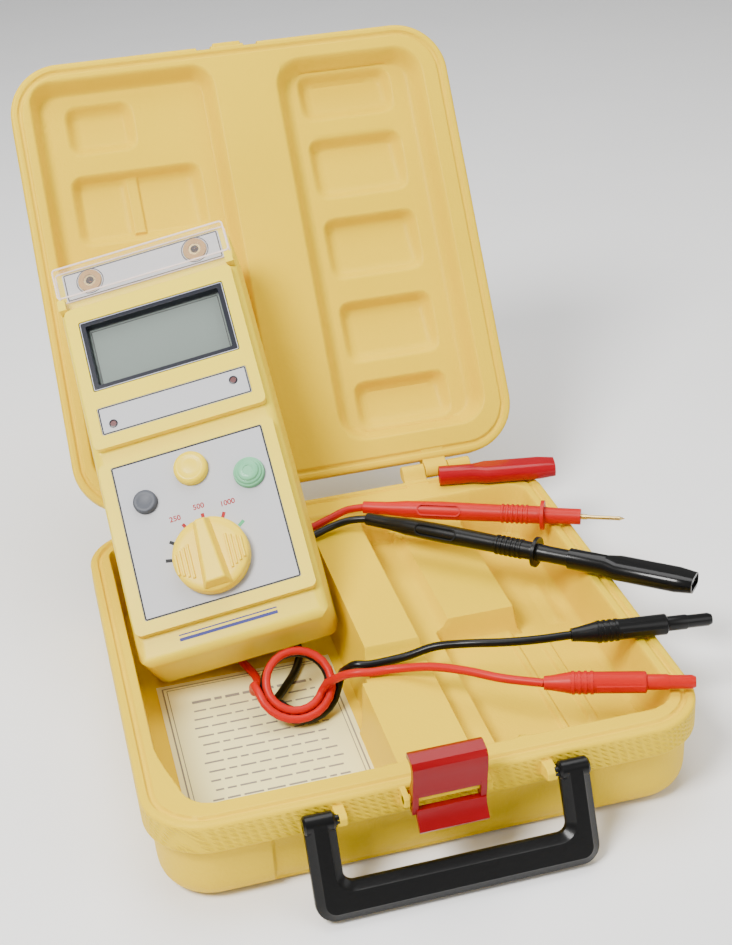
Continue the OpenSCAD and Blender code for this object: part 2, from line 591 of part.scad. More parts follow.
// Slip-on crocodile clip boot along +Z, with a round neck and a flat wide mouth
module clip_boot() difference() {
    union() {
        cylinder(r = 5, h = 18);
        hull() {
            translate([0, 0, 15]) cylinder(r = 4.6, h = 1, $fn = 32);
            for (x = [-2.6, 2.6]) translate([x, 0, 24]) cylinder(r = 4.6, h = 28, $fn = 32);
            for (x = [-2.2, 2.2]) translate([x, 0, 56]) cylinder(r = 3.9, h = 4, $fn = 32);
        }
    }
    translate([0, 0, -1]) cylinder(r = 4, h = 16);
    translate([0, 0, 10]) cylinder(r = 1.5, h = 20);
    translate([-5, -2.4, 29]) cube([10, 4.8, 40]);
}
module clip_jaws() for (side = [-1, 1]) difference() {
    translate([-4.4, side < 0 ? -2 : 0.5, 29.4]) cube([8.8, 1.5, 29.4]);
    for (z = [42 : 3 : 56]) translate([-3.4, -1.2, z]) cube([6.8, 2.4, 1.4]);
}
module red_clip() aim(red_clip_a, red_clip_b) rotate([0, 0, 90]) children();

module black_probe_cord() color(lead_black) cord(black_probe_route);
module black_mid_cord() color(lead_black) cord(black_mid_route);
module black_plug_cord() color(lead_black) cord(black_plug_route);
module black_store_coil() color(lead_black) store_coil(0);
module black_front_loop() color(lead_black) front_loop(0);
module black_probe() color(lead_black) aim(black_probe_a, black_probe_b) probe_handle();
module black_needle() color(brass) aim(black_probe_a, black_probe_b) needle();
module black_plug() color(lead_black) aim(black_plug_a, black_plug_b) plug_shell();
module black_plug_pin() color(brass) aim(black_plug_a, black_plug_b) plug_pin();
module red_probe_cord() color(lead_red) cord(red_probe_route);
module red_mid_cord() color(lead_red) cord(red_mid_route);
module red_plug_cord() color(lead_red) cord(red_plug_route);
module red_store_coil() color(lead_red) store_coil(coil_h + 0.1);
module red_front_loop() color(lead_red) front_loop(3);
module red_probe() color(lead_red) aim(red_probe_a, red_probe_b) probe_handle();
module red_needle() color(brass) aim(red_probe_a, red_probe_b) needle();
module red_plug() color(lead_red) aim(red_plug_a, red_plug_b) plug_shell();
module red_plug_pin() color(brass) aim(red_plug_a, red_plug_b) plug_pin();
module black_clip_boot() color(lead_black) aim(black_probe_a, black_probe_b)
    translate([0, 0, probe_l - 2]) rotate([0, 0, 90]) clip_boot();
module black_clip_jaws() color(steel) aim(black_probe_a, black_probe_b)
    translate([0, 0, probe_l - 2]) rotate([0, 0, 90]) clip_jaws();
module red_clip_boot() color([0.80, 0.08, 0.14]) red_clip() clip_boot();
module red_clip_jaws() color(steel) red_clip() clip_jaws();

case_base();
case_lid();
hinge_pins();
latch();
carry_handle();
paper_card();
front_cover();
rear_cover();
terminal_cover();
terminal_plate();
line_socket();
earth_socket();
socket_contacts();
lcd_bezel();
lcd_window();
lcd_panel();
title_plate();
control_plate();
indicator_lamps();
test_button();
hold_button();
light_button();
range_knob();
range_shaft();
rotary_switch();
tact_switches();
main_board();
hv_transformer();
capacitor();
fuse();
fuse_clips();
buzzer();
battery_holder();
batteries();
battery_door();
battery_door_screw();
case_screws();
black_probe_cord();
black_store_coil();
black_mid_cord();
black_front_loop();
black_plug_cord();
black_probe();
black_needle();
black_plug();
black_plug_pin();
red_probe_cord();
red_store_coil();
red_mid_cord();
red_front_loop();
red_plug_cord();
red_probe();
red_needle();
red_plug();
red_plug_pin();
black_clip_boot();
black_clip_jaws();
red_clip_boot();
red_clip_jaws();
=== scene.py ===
import json
import math

import bmesh
import bpy
import numpy as np
from mathutils import Matrix, Vector


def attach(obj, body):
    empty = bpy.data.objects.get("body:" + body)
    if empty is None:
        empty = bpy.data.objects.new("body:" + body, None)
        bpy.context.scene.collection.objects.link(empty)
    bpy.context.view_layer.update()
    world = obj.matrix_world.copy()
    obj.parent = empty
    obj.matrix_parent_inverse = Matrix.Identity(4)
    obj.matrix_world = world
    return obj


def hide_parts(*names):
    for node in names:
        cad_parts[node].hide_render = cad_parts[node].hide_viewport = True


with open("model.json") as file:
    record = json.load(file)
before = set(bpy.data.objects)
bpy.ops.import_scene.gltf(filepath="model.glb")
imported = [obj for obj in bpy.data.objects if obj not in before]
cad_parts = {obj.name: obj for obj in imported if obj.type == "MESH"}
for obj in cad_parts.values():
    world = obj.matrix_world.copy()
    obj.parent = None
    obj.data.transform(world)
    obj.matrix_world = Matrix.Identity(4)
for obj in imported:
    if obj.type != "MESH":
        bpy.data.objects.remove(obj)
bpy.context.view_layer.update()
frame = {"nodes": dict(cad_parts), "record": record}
record = frame["record"]
BODY = {n: b for b, ns in record["behaviour"]["bodies"].items() for n in ns}
SLOT = {s["node"]: s["material_slot"] for s in record["subparts"]}
MM = 0.001

# Sizes in mm. The case's own frame has X to the right, Y to the back and Z up from the tub's rim;
# the lid and the tester have frames of their own, with Z out of their faces.
W, D, BASE_H, LID_L = 233.0, 232.6, 43.0, 234.0
CORNER = 27.0
TRAY, BAY, WELL = 37, 27, 11              # depths of the tester's tray, the lead bay and the lid's wells
KNOB_Y = 40.5                             # the knob's centre on the tester
PRINT, DECK_PRINT, INK_T = -0.08, -6.48, 0.05    # heights of the printing, and its thickness
HANDLE_W, HANDLE_ARM = 116.2, 12.6
CARD_X, CARD_Y, CARD_W, CARD_L, CARD_Z = 19.5, 22, 83, 124, -36.65
LEAD_D = 3.8


# ------------------------------------------------------------------ frames
CASE = Matrix.Translation(Vector((-W / 2, -D / 2, BASE_H)) * MM)


def place(*steps):
    """The case's frame moved by steps of ("t", x, y, z) in mm or ("x", "y" or "z", degrees)."""
    m = CASE.copy()
    for kind, *v in steps:
        if kind == "t":
            m = m @ Matrix.Translation(Vector(v) * MM)
        else:
            m = m @ Matrix.Rotation(math.radians(v[0]), 4, kind.upper())
    return m


LID = place(("t", 0, 238.2, 1.3), ("x", 57.6), ("t", 0, 5.6, 1.1))
TESTER = place(("t", 54.9, 117.2, 1.3), ("x", 39.5), ("z", 1.85), ("y", -13.6))
RING = {"black": (81.7, 108.5, -22.8), "red": (78.7, 105.9, -19.7)}


def aim(a, b):
    """A frame at a with its Z along the line from a to b."""
    d = Vector(b) - Vector(a)
    yaw = math.degrees(math.atan2(d.y, d.x))
    tip = math.degrees(math.acos(d.z / d.length))
    return place(("t", *a), ("z", yaw), ("y", tip))


PROBE = {"black": aim((137.3, 195.8, 4), (261.6, 84.2, 7)),
         "red": aim((138.4, 207.55, 4), (255.5, 149.75, 5.6))}

# ------------------------------------------------------------------ camera
cam_data = bpy.data.cameras.new("camera")
cam = bpy.data.objects.new("camera", cam_data)
bpy.context.scene.collection.objects.link(cam)
bpy.context.scene.camera = cam
cam_data.sensor_width = 36
cam_data.lens = 60.3
cam_data.clip_start, cam_data.clip_end = 0.01, 20
CAMERA_AT = (-0.13019, -0.58366, 0.44528)
AZIMUTH, ELEVATION, ROLL = -12.9, 28.68, -3.65
az, el, roll = (math.radians(v) for v in (AZIMUTH, ELEVATION, ROLL))
fwd = Vector((-math.sin(az) * math.cos(el), math.cos(az) * math.cos(el), -math.sin(el)))
right = Vector((math.cos(az), math.sin(az), 0))
up = right.cross(fwd)
cam_x = right * math.cos(roll) + up * math.sin(roll)
cam_y = up * math.cos(roll) - right * math.sin(roll)
cam.matrix_world = Matrix([(cam_x[i], cam_y[i], -fwd[i], CAMERA_AT[i]) for i in range(3)] + [(0, 0, 0, 1)])


# ------------------------------------------------------------------ materials
def shader(name, color, rough=0.45, metal=0.0, coat=0.0, bump=0.0, grain=900.0, vary=0.06,
           sss=0.0, alpha=1.0, kind="pebble", wear=0.03, spec=0.2):
    """Procedural material: base colour with slow variation, roughness variation and a bump."""
    m = bpy.data.materials.new(name)
    m.use_nodes = True
    nt = m.node_tree
    bsdf = nt.nodes["Principled BSDF"]
    tex = nt.nodes.new("ShaderNodeTexCoord")

    def noise(scale, detail=3.0, rough_=0.55):
        n = nt.nodes.new("ShaderNodeTexNoise")
        n.inputs["Scale"].default_value = scale
        n.inputs["Detail"].default_value = detail
        n.inputs["Roughness"].default_value = rough_
        nt.links.new(tex.outputs["Object"], n.inputs["Vector"])
        return n

    slow = noise(9.0, 2.0)
    ramp = nt.nodes.new("ShaderNodeValToRGB")
    dark = [max(0.0, c * (1 - vary)) for c in color] + [1]
    light = [min(1.0, c * (1 + vary)) for c in color] + [1]
    ramp.color_ramp.elements[0].color = dark
    ramp.color_ramp.elements[0].position = 0.3
    ramp.color_ramp.elements[1].color = light
    ramp.color_ramp.elements[1].position = 0.7
    nt.links.new(slow.outputs["Fac"], ramp.inputs["Fac"])
    nt.links.new(ramp.outputs["Color"], bsdf.inputs["Base Color"])
    mid = noise(60.0, 4.0)
    rr = nt.nodes.new("ShaderNodeMapRange")
    rr.inputs["To Min"].default_value = max(0.02, rough - wear)
    rr.inputs["To Max"].default_value = min(1.0, rough + wear)
    nt.links.new(mid.outputs["Fac"], rr.inputs["Value"])
    nt.links.new(rr.outputs["Result"], bsdf.inputs["Roughness"])
    if bump:
        b = nt.nodes.new("ShaderNodeBump")
        b.inputs["Strength"].default_value = bump
        b.inputs["Distance"].default_value = 0.0008 if kind == "diamond" else 0.0005
        if kind == "pebble":
            n = noise(grain, 3.0, 0.6)
            nt.links.new(n.outputs["Fac"], b.inputs["Height"])
        elif kind == "diamond":
            total = None
            for turn in (45, -45):
                mp = nt.nodes.new("ShaderNodeMapping")
                mp.inputs["Rotation"].default_value = (math.radians(turn), math.radians(turn),
                                                       math.radians(turn))
                wv = nt.nodes.new("ShaderNodeTexWave")
                wv.inputs["Scale"].default_value = grain
                wv.inputs["Distortion"].default_value = 0.2
                nt.links.new(tex.outputs["Object"], mp.inputs["Vector"])
                nt.links.new(mp.outputs["Vector"], wv.inputs["Vector"])
                if total is None:
                    total = wv.outputs["Fac"]
                else:
                    mx = nt.nodes.new("ShaderNodeMath")
                    mx.operation = "MULTIPLY"
                    nt.links.new(total, mx.inputs[0])
                    nt.links.new(wv.outputs["Fac"], mx.inputs[1])
                    total = mx.outputs["Value"]
            nt.links.new(total, b.inputs["Height"])
        nt.links.new(b.outputs["Normal"], bsdf.inputs["Normal"])
    bsdf.inputs["Metallic"].default_value = metal
    bsdf.inputs["Specular IOR Level"].default_value = 0.5 if metal else spec
    if coat:
        bsdf.inputs["Coat Weight"].default_value = coat
        bsdf.inputs["Coat Roughness"].default_value = 0.08
    if sss:
        bsdf.inputs["Subsurface Weight"].default_value = sss
        bsdf.inputs["Subsurface Radius"].default_value = (1.0, 0.45, 0.08)
        bsdf.inputs["Subsurface Scale"].default_value = 0.004
    bsdf.inputs["Alpha"].default_value = alpha
    return m


CASE_COL = (0.78, 0.525, 0.0)
case_mat = shader("case yellow", CASE_COL, 0.42, spec=0.09, bump=0.22, grain=700, vary=0.035)
band_mat = shader("case band", CASE_COL, 0.48, spec=0.12, bump=0.75, grain=170, vary=0.03, kind="diamond")
front_mat = shader("case pebbled front", (0.76, 0.50, 0.0), 0.5, bump=0.6, grain=620, vary=0.04)
lid_mat = shader("lid yellow", (0.77, 0.515, 0.0), 0.42, spec=0.09, bump=0.25, grain=650, vary=0.04)
body_mat = shader("tester body", (0.82, 0.62, 0.015), 0.38, bump=0.10, grain=1500, vary=0.025, sss=0.1)
knob_mat = shader("knob yellow", (0.88, 0.62, 0.008), 0.34, bump=0.05, grain=1200, vary=0.03)
test_mat = shader("test button", (0.88, 0.64, 0.008), 0.32, coat=0.05, bump=0.03, grain=900, vary=0.03)
mint_mat = shader("mint button", (0.15, 0.45, 0.24), 0.34, coat=0.1, bump=0.04, grain=900, vary=0.04)
grey_mat = shader("grey button", (0.075, 0.08, 0.095), 0.42, bump=0.08, grain=1100, vary=0.05)
plate_mat = shader("label plate", (0.44, 0.44, 0.455), 0.45, bump=0.03, grain=1600, vary=0.015)
ink_mat = shader("printed black", (0.004, 0.004, 0.005), 0.5, vary=0.1)
red_ink = shader("printed red", (0.30, 0.0, 0.0), 0.5, vary=0.1)
green_ink = shader("printed green", (0.05, 0.35, 0.14), 0.5, vary=0.1)
bezel_mat = shader("bezel", (0.004, 0.005, 0.012), 0.32, coat=0.08, bump=0.03, grain=1200, vary=0.1)
lcd_mat = shader("display", (0.10, 0.13, 0.112), 0.45, vary=0.05)
clear_mat = shader("clear cover", (0.98, 0.90, 0.88), 0.10, alpha=0.05, vary=0.02)
# Half-opaque pinkish white: a painted highlight standing in for the bright edges of the clear terminal cover.
cover_glint_mat = shader("painted glint on clear cover edge", (0.90, 0.74, 0.70), 0.2, alpha=0.55, vary=0.02)
window_mat = shader("display window", (0.85, 0.9, 0.88), 0.10, alpha=0.04, vary=0.02)
socket_mat = shader("socket orange", (0.36, 0.19, 0.04), 0.38, bump=0.05, vary=0.08)
latch_mat = shader("latch crimson", (0.22, 0.0, 0.003), 0.30, coat=0.06, bump=0.05, grain=500, vary=0.10,
                   sss=0.08)
handle_mat = shader("handle black", (0.003, 0.003, 0.003), 0.30, coat=0.06, bump=0.12, grain=900, vary=0.25)
card_mat = shader("card", (0.84, 0.76, 0.36), 0.75, bump=0.12, grain=500, vary=0.05)
card_ink = shader("card ink", (0.24, 0.21, 0.17), 0.8, vary=0.2)
red_mat = shader("red lead", (0.46, 0.006, 0.003), 0.40, bump=0.05, grain=800, vary=0.06, sss=0.1)
black_mat = shader("black lead", (0.004, 0.004, 0.004), 0.32, coat=0.06, bump=0.06, grain=800, vary=0.3)
crimson_mat = shader("clip crimson", (0.30, 0.0, 0.006), 0.24, coat=0.12, bump=0.03, vary=0.1, sss=0.1)
gloss_black = shader("clip black", (0.004, 0.004, 0.004), 0.22, coat=0.12, bump=0.03, vary=0.3)
metal_mat = shader("plated metal", (0.66, 0.66, 0.67), 0.22, metal=1.0, bump=0.04, grain=900, vary=0.04,
                   wear=0.08)
brass_mat = shader("brass", (0.72, 0.52, 0.2), 0.25, metal=1.0, bump=0.03, vary=0.05, wear=0.08)
lamp_mat = shader("lamp lens", (0.14, 0.06, 0.06), 0.2, coat=0.3, vary=0.1)
floor_mat = shader("floor", (0.86, 0.86, 0.86), 0.6, bump=0.02, grain=60, vary=0.01)
trim_mat = shader("trim line blue", (0.03, 0.035, 0.20), 0.5, vary=0.1)

BY_SLOT = {
    "case_plastic": case_mat, "latch_plastic": latch_mat, "handle_plastic": handle_mat,
    "card_paper": card_mat, "body_plastic": body_mat, "clear_cover": clear_mat,
    "label_plate": plate_mat, "bezel_plastic": bezel_mat, "lcd_glass": lcd_mat,
    "socket_plastic": socket_mat, "green_plastic": mint_mat, "grey_plastic": grey_mat,
    "lamp_lens": lamp_mat, "contact_brass": brass_mat, "plated_metal": metal_mat,
    "black_lead": black_mat, "red_lead": red_mat, "black_clip": gloss_black, "red_clip": crimson_mat,
    "white_plastic": shader("white moulding", (0.75, 0.75, 0.70), 0.4, bump=0.05, vary=0.04),
    "board": shader("board", (0.02, 0.16, 0.06), 0.35, coat=0.4, bump=0.08, grain=400, vary=0.12),
    "black_plastic": shader("black moulding", (0.02, 0.02, 0.022), 0.4, bump=0.08, vary=0.2),
    "winding": shader("winding tape", (0.60, 0.42, 0.06), 0.3, coat=0.4, bump=0.1, vary=0.08),
    "can": shader("sleeved can", (0.06, 0.07, 0.20), 0.3, coat=0.4, bump=0.04, vary=0.1),
    "fuse_glass": shader("fuse glass", (0.85, 0.9, 0.9), 0.05, alpha=0.4, coat=1.0, vary=0.02),
}


def paint(ob, mat):
    ob.data.materials.clear()
    ob.data.materials.append(mat)


for name, ob in frame["nodes"].items():
    paint(ob, BY_SLOT[SLOT[name]])
for name, mat in (("lcd_panel", lcd_mat), ("lcd_window", window_mat), ("black_needle", brass_mat),
                  ("red_needle", brass_mat)):
    paint(frame["nodes"][name], mat)


# ------------------------------------------------------------------ mesh helpers
def finish_piece(ob, body, nodes=()):
    """Ride on a body and stand for the CAD nodes given."""
    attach(ob, body)
    if nodes:
        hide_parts(*nodes)
    return ob


def make(name, verts, faces, mats, matrix=None, face_mats=None, smooth=40):
    """A mesh object from points in mm in the frame given by matrix."""
    me = bpy.data.meshes.new(name)
    pts = [Vector(v) * MM for v in verts]
    if matrix is not None:
        pts = [matrix @ p for p in pts]
    me.from_pydata([tuple(p) for p in pts], [], faces)
    for m in mats if isinstance(mats, (list, tuple)) else [mats]:
        me.materials.append(m)
    if face_mats is not None:
        me.polygons.foreach_set("material_index", face_mats)
    me.validate()
    me.update()
    if smooth:
        me.shade_smooth()
        me.set_sharp_from_angle(angle=math.radians(smooth))
    ob = bpy.data.objects.new(name, me)
    bpy.context.scene.collection.objects.link(ob)
    return ob


def fix_normals(ob, weld=0.0):
    bm = bmesh.new()
    bm.from_mesh(ob.data)
    if weld:
        bmesh.ops.remove_doubles(bm, verts=bm.verts, dist=weld)
    bmesh.ops.recalc_face_normals(bm, faces=bm.faces)
    bm.to_mesh(ob.data)
    bm.free()


def two_rings(low, high):
    """Points and faces of the solid between two outlines with equally many points."""
    n = len(low)
    faces = [tuple(range(n - 1, -1, -1)), tuple(range(n, 2 * n))]
    faces += [(k, (k + 1) % n, n + (k + 1) % n, n + k) for k in range(n)]
    return low + high, faces


def bevel(ob, width, segs=2, angle=35):
    b = ob.modifiers.new("bevel", "BEVEL")
    b.width = width * MM
    b.segments = segs
    b.limit_method = "ANGLE"
    b.angle_limit = math.radians(angle)
    b.harden_normals = True
    b.use_clamp_overlap = True
    return ob


def soften(node, width, segs=2, mat=None, angle=35):
    """The CAD node's own shape with its sharp edges rounded as the moulded piece has them."""
    src = frame["nodes"][node]
    me = src.data.copy()
    me.name = "soft_" + node
    bm = bmesh.new()
    bm.from_mesh(me)
    bmesh.ops.remove_doubles(bm, verts=bm.verts, dist=2e-6)
    bmesh.ops.dissolve_limit(bm, angle_limit=math.radians(0.6), verts=bm.verts, edges=bm.edges)
    bm.to_mesh(me)
    bm.free()
    me.materials.clear()
    me.materials.append(mat or BY_SLOT[SLOT[node]])
    me.shade_smooth()
    me.set_sharp_from_angle(angle=math.radians(angle))
    ob = bpy.data.objects.new("soft_" + node, me)
    bpy.context.scene.collection.objects.link(ob)
    ob.matrix_world = src.matrix_world.copy()
    bevel(ob, width, segs, angle)
    return finish_piece(ob, BODY[node], [node])


def outline(x, y, w, d, r, steps=8):
    """Points round a rectangle with its corners rounded by r."""
    pts = []
    for cx, cy, a0 in ((x + w - r, y + d - r, 0), (x + r, y + d - r, 90), (x + r, y + r, 180),
                       (x + w - r, y + r, 270)):
        for k in range(steps + 1):
            a = math.radians(a0 + 90 * k / steps)
            pts.append((cx + r * math.cos(a), cy + r * math.sin(a)))
    return pts


def slab(name, matrix, x, y, w, d, z0, z1, r, mat, round_=0.0):
    """A rounded rectangle from height z0 to z1."""
    pts = outline(x, y, w, d, r)
    verts, faces = two_rings([(px, py, z0) for px, py in pts], [(px, py, z1) for px, py in pts])
    ob = make(name, verts, faces, mat, matrix)
    if round_:
        bevel(ob, round_)
    return ob


def frame_strip(name, matrix, x, y, w, d, z0, z1, r, t, mat):
    """A border line of width t round a rounded rectangle, from height z0 to z1."""
    a, b = outline(x, y, w, d, r), outline(x + t, y + t, w - 2 * t, d - 2 * t, max(r - t, 0.05))
    n = len(a)
    verts = [(p[0], p[1], z) for z in (z0, z1) for ring in (a, b) for p in ring]
    faces = []
    for k in range(n):
        j = (k + 1) % n
        faces += [(2 * n + k, 2 * n + j, 3 * n + j, 3 * n + k), (k, j, 2 * n + j, 2 * n + k),
                  (n + j, n + k, 3 * n + k, 3 * n + j), (j, k, n + k, n + j)]
    return make(name, verts, faces, mat, matrix)


def revolve(name, matrix, profile, mat, segs=64, smooth=40):
    """Closed solid of revolution about local Z from (radius, height) points."""
    verts, faces = [], []
    n = len(profile)
    for k in range(segs):
        a = 2 * math.pi * k / segs
        verts += [(r * math.cos(a), r * math.sin(a), z) for r, z in profile]
    for k in range(segs):
        j = (k + 1) % segs
        for i in range(n - 1):
            faces.append((k * n + i, j * n + i, j * n + i + 1, k * n + i + 1))
    ob = make(name, verts, faces, mat, matrix, smooth=0)
    fix_normals(ob, weld=1e-7)
    ob.data.shade_smooth()
    ob.data.set_sharp_from_angle(angle=math.radians(smooth))
    return ob


# ------------------------------------------------------------------ leads
def curve_through(pts, per=5):
    """Catmull-Rom points through pts, with `per` steps from each to the next."""
    out = []
    p = [Vector(v) for v in pts]
    for i in range(len(p) - 1):
        a, b, c, d = p[max(0, i - 1)], p[i], p[i + 1], p[min(len(p) - 1, i + 2)]
        for k in range(per):
            f = k / per
            out.append(0.5 * (2 * b + (c - a) * f + (2 * a - 5 * b + 4 * c - d) * f * f
                              + (3 * b - a - 3 * c + d) * f ** 3))
    out.append(p[-1])
    return out


def ease(t):
    t = min(1.0, max(0.0, t))
    return t * t * (3 - 2 * t)


def coil_path(strands, start, turn, total):
    """Turns of lead in the tray: strands are (radius, height); each turn ends on the next one."""
    steps = int(total / 15)
    out = []
    for k in range(steps + 1):
        a = total * k / steps
        n = min(int(a // 360), len(strands) - 1)
        left = 360 - (a - 360 * n)
        r, z = strands[n]
        if n < len(strands) - 1:
            window = 0 if n < 2 else (60 if n == 2 else 120)
            f = ease((60 + window - left) / 60)
            r += f * (strands[n + 1][0] - r)
            z += f * (strands[n + 1][1] - z)
        ang = math.radians(start + turn * a)
        out.append(Vector((68 + r * math.cos(ang), 186 + r * math.sin(ang), z)))
    return out


def ring_path(color, a0, a1, ra, rb, hold):
    """The loops at the tester's foot: radius ra for the first `hold` degrees, then rb."""
    tilt = Matrix.Rotation(math.radians(40), 4, "X")
    out = []
    steps = int((a1 - a0) / 15)
    for k in range(steps + 1):
        a = a0 + (a1 - a0) * k / steps
        f = ease((a - a0 - hold) / max(1, (a1 - a0) - 2 * hold))
        r = ra + (rb - ra) * f
        v = tilt @ Vector((r * math.cos(math.radians(a)), r * math.sin(math.radians(a)), 0))
        out.append(v + Vector(RING[color]))
    return out


paths = {
    "black": curve_through([(137.3, 195.8, 4), (129, 198.6, 3.2), (121, 198.5, 2), (113.5, 196, 1.3),
                            (107.5, 193.6, 0.2), (102.8, 192.4, -6), (100, 191, -13), (99.4, 189.6, -20),
                            (98.4, 187, -28), (95.6, 183.8, -33)])
    + coil_path([(25, -34.7), (21, -34.7), (17, -34.7), (17, -30.7), (21, -30.7), (25, -30.7)],
                -14, -1, 1806)
    + curve_through([(90.2, 169.5, -31), (89.6, 160, -33.4), (89, 148, -34.6), (84, 135, -34.6),
                     (76, 123, -34.6), (69.5, 113, -34), (68.2, 107, -31.2)])
    + ring_path("black", 214, 698, 12.9, 16.9, 130)
    + curve_through([(100, 105.6, -20.4), (100, 101.8, -16.2), (100, 97.6, -12.6), (101, 94, -9),
                     (103.8, 91, -5.7), (109.5, 88.9, -5.5), (117, 88.8, -5.5), (127, 87.6, -4),
                     (139, 85.6, -0.5), (152, 79, 2.5), (166, 73.5, 3.5), (180, 69.5, 4.3),
                     (195.4, 66.9, 5)]),
    "red": curve_through([(138.4, 207.55, 4), (130, 209, 3.2), (121.5, 206.5, 2), (114, 203.5, 1.3),
                          (107.5, 201, 0.2), (101.5, 199, -6.5), (95, 199.6, -14), (88.8, 203, -20)])
    + coil_path([(25, -22.7), (21, -22.7), (17, -22.7), (17, -26.7), (21, -26.7), (25, -26.7)],
                56, 1, 1960)
    + curve_through([(53.2, 163, -27), (58, 155, -29.8), (62, 147, -33.2), (65, 139, -34.3),
                     (65.5, 131, -34.3), (63.5, 125, -33.6), (61.6, 119, -30), (60.9, 114.5, -24),
                     (61.1, 109.6, -19.6)])
    + ring_path("red", 188, 692, 16.8, 12.8, 150)
    + curve_through([(91.9, 98, -17.5), (94.3, 92.5, -12.3), (98, 88, -7.8), (103, 84.8, -5.6),
                     (109, 83, -5.4), (119, 80.6, -4.4), (133, 71.8, -0.5), (145.5, 61, 1.8),
                     (158, 50, 2.5), (173.1, 40.6, 3)]),
}


def lead(color, mat):
    """One whole lead as a curve: the object, its points in metres and its length."""
    pts = [CASE @ (p * MM) for p in paths[color]]
    cu = bpy.data.curves.new(color + "_lead", "CURVE")
    cu.dimensions = "3D"
    cu.bevel_depth = LEAD_D / 2 * MM
    cu.bevel_resolution = 5
    cu.use_fill_caps = True
    sp = cu.splines.new("POLY")
    sp.points.add(len(pts) - 1)
    for k, p in enumerate(pts):
        sp.points[k].co = (*p, 1)
    cu.materials.append(mat)
    ob = bpy.data.objects.new(color + "_lead", cu)
    bpy.context.scene.collection.objects.link(ob)
    nodes = ("_probe_cord", "_store_coil", "_mid_cord", "_front_loop", "_plug_cord")
    finish_piece(ob, "leads", [color + n for n in nodes])
    length = sum((b - a).length for a, b in zip(pts, pts[1:]))
    return ob, pts, length


leads = {c: lead(c, m) for c, m in (("black", black_mat), ("red", red_mat))}
plugs = {c: (soften(c + "_plug", 0.25), frame["nodes"][c + "_plug_pin"]) for c in ("black", "red")}


# ------------------------------------------------------------------ moulded case halves
def sdf(X, Y, box, r):
    """Signed distance to a rounded rectangle [x, y, w, d]; negative inside."""
    x, y, w, d = box
    qx = np.abs(X - (x + w / 2)) - (w / 2 - r)
    qy = np.abs(Y - (y + d / 2)) - (d / 2 - r)
    return np.hypot(np.maximum(qx, 0), np.maximum(qy, 0)) + np.minimum(np.maximum(qx, qy), 0) - r


def step(t):
    t = np.clip(t, 0, 1)
    return t * t * (3 - 2 * t)


def lines(size, marks, coarse=2.2, fine=0.4, reach=3.2):
    """Grid lines along one side, set closer within `reach` of each mark."""
    pts = set(np.round(np.linspace(0, size, int(size / coarse)), 3))
    for m in marks:
        pts |= set(np.round(np.arange(m - reach, m + reach, fine), 3))
    pts = sorted(p for p in pts if 0 <= p <= size)
    keep = [0.0]
    for p in pts[1:]:
        if p - keep[-1] > 0.22:
            keep.append(p)
    keep[-1] = size
    return np.array(keep)


def case_half(name, matrix, length, marks_x, marks_y, height, rings, mats, body, node, adjust=None):
    """A moulded half: a height map over the plan inside the rim, and rings down the outside."""
    edge = rings[0][0]
    r = CORNER - edge
    w, d = W - 2 * edge, length - 2 * edge
    xs, ys = lines(w, [m - edge for m in marks_x]), lines(d, [m - edge for m in marks_y])
    X, Y = np.meshgrid(xs - w / 2, ys - d / 2, indexing="ij")
    hw, hd = w / 2, d / 2
    m = np.maximum(np.abs(X) / hw, np.abs(Y) / hd)
    safe = np.maximum(m, 1e-9)
    qx, qy = np.abs(X) / safe, np.abs(Y) / safe
    cx, cy = hw - r, hd - r
    corner = (qx > cx) & (qy > cy)
    a = qx ** 2 + qy ** 2
    b = qx * cx + qy * cy
    c = cx ** 2 + cy ** 2 - r ** 2
    f = np.where(corner, (b + np.sqrt(np.maximum(b * b - a * c, 0))) / np.maximum(a, 1e-9), 1.0)
    f = np.minimum(f, 1.0)
    k = step((m - 0.72) / 0.28)
    scale = 1 + (f - 1) * k
    PX, PY = X * scale + W / 2, Y * scale + length / 2
    Z = height(PX, PY)
    nx, ny = len(xs), len(ys)
    verts = np.stack([PX, PY, Z], -1).reshape(-1, 3).tolist()
    idx = np.arange(nx * ny).reshape(nx, ny)
    q = np.stack([idx[:-1, :-1], idx[1:, :-1], idx[1:, 1:], idx[:-1, 1:]], -1).reshape(-1, 4)
    faces = q.tolist()
    fm = [0] * len(faces)
    loop = list(idx[:, 0]) + list(idx[-1, 1:]) + list(idx[-2::-1, -1]) + list(idx[0, -2:0:-1])
    n = len(loop)
    norms = []
    for i in loop:
        px, py = verts[i][0] - W / 2, verts[i][1] - length / 2
        ox, oy = max(abs(px) - cx, 0), max(abs(py) - cy, 0)
        if ox > 1e-6 and oy > 1e-6:
            h = math.hypot(ox, oy)
            norms.append((math.copysign(ox / h, px), math.copysign(oy / h, py)))
        elif hw - abs(px) < hd - abs(py):
            norms.append((math.copysign(1, px), 0))
        else:
            norms.append((0, math.copysign(1, py)))
    last = loop
    for t, z, mat in rings[1:]:
        row = []
        for i, (ax, ay) in zip(loop, norms):
            p = [verts[i][0] + ax * (edge - t), verts[i][1] + ay * (edge - t), z]
            if adjust:
                p = adjust(p, t, z)
            verts.append(p)
            row.append(len(verts) - 1)
        for j in range(n):
            j2 = (j + 1) % n
            faces.append([last[j], row[j], row[j2], last[j2]])
            fm.append(mat)
        last = row
    faces.append(list(reversed(last)))
    fm.append(2)
    faces = [list(reversed(f_)) if len(f_) == 4 and i_ >= len(q) else f_ for i_, f_ in enumerate(faces)]
    ob = make(name, verts, faces, mats, matrix, fm, smooth=50)
    fix_normals(ob)
    return finish_piece(ob, body, [node])


